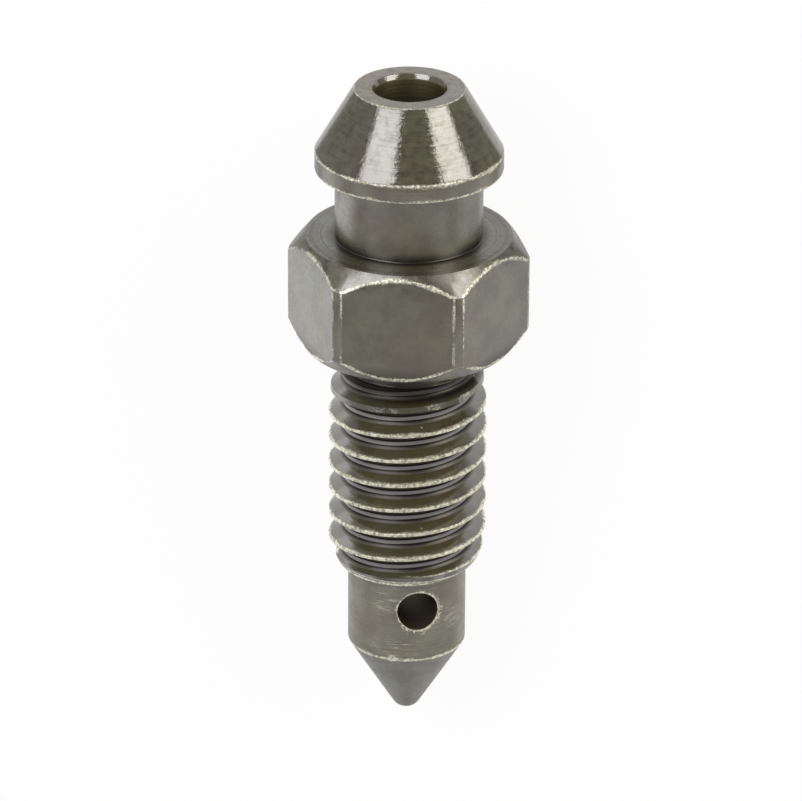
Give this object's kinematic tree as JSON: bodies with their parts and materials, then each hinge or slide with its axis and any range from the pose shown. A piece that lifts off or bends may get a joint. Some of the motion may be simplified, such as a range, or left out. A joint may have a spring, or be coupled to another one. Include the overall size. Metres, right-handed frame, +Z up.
{
  "type": "bleeder screw",
  "caption": "Turned bleeder screw: a hexagon head with a tapered hose nipple, a right-hand threaded shank with a cross hole, and a conical sealing tip.",
  "frame": {"origin": "on the floor below the centre of the screw's box, with the screw lying on its side as it comes to rest", "axes": "+X towards the hose nipple, +Z up, +Y across the screw; the screw's own axis runs in the XZ plane and rises about 7.2 degrees towards +X"},
  "size_m": [0.025, 0.0088, 0.0082],
  "materials": {
    "turned_steel": "dark grey-olive, as turned, lightly oiled"
  },
  "bodies": {
    "root": {"bleeder_screw": "turned_steel"}
  },
  "joints": []
}
